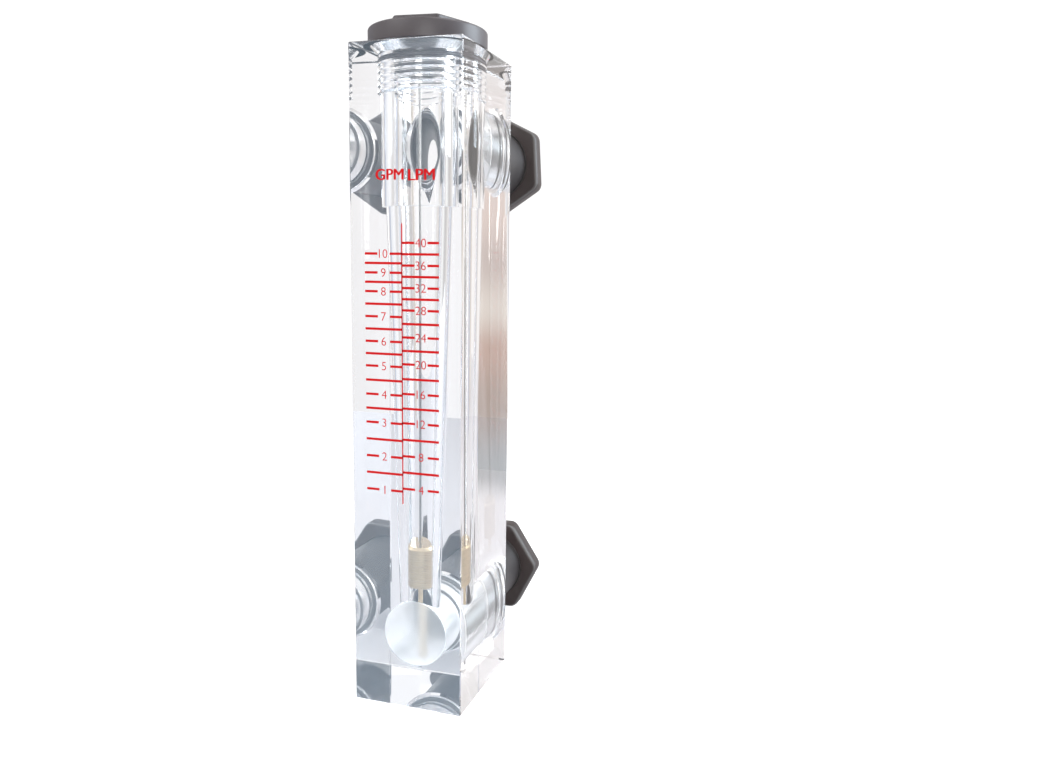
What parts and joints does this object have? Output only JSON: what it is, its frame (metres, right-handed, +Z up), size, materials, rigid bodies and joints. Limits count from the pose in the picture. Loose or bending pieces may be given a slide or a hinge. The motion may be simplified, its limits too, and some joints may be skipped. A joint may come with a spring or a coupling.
{
  "type": "rotameter",
  "caption": "Variable-area flow meter: clear square acrylic block with a tapered metering tube, steel float on a guide rod, screwed top plug and threaded rear pipe adapters with lock nuts.",
  "frame": {"origin": "centre of the block's flat base", "axes": "+Z up along the block, -Y out of the printed front face, +Y along the pipe adapters, +X to the right seen from the front"},
  "size_m": [0.0514, 0.1289, 0.2906],
  "materials": {
    "clear_acrylic": "polished cast acrylic with machined bores",
    "black_abs": "satin moulded plastic",
    "stainless_steel": "turned, fine lathe marks",
    "scale_ink": "thin red print on the front face of the block",
    "seal_rubber": "smooth moulded rubber"
  },
  "bodies": {
    "meter": {"acrylic_block": "clear_acrylic", "top_plug": "black_abs", "plug_seal_ring": "seal_rubber", "guide_rod": "stainless_steel", "float_stop_sleeve": "stainless_steel", "inlet_adapter": "black_abs", "inlet_seal_ring": "seal_rubber", "outlet_adapter": "black_abs", "outlet_seal_ring": "seal_rubber"},
    "float": {"float": "stainless_steel"},
    "inlet_nut": {"inlet_lock_nut": "black_abs"},
    "outlet_nut": {"outlet_lock_nut": "black_abs"}
  },
  "joints": [
    {"name": "float_rise", "type": "slide", "parent": "meter", "child": "float", "axis": [0, 0, 1], "range_m": [0, 0.202]},
    {"name": "inlet_nut_travel", "type": "slide", "parent": "meter", "child": "inlet_nut", "axis": [0, 1, 0], "range_m": [0, 0.0075]},
    {"name": "outlet_nut_travel", "type": "slide", "parent": "meter", "child": "outlet_nut", "axis": [0, 1, 0], "range_m": [0, 0.0075]}
  ]
}
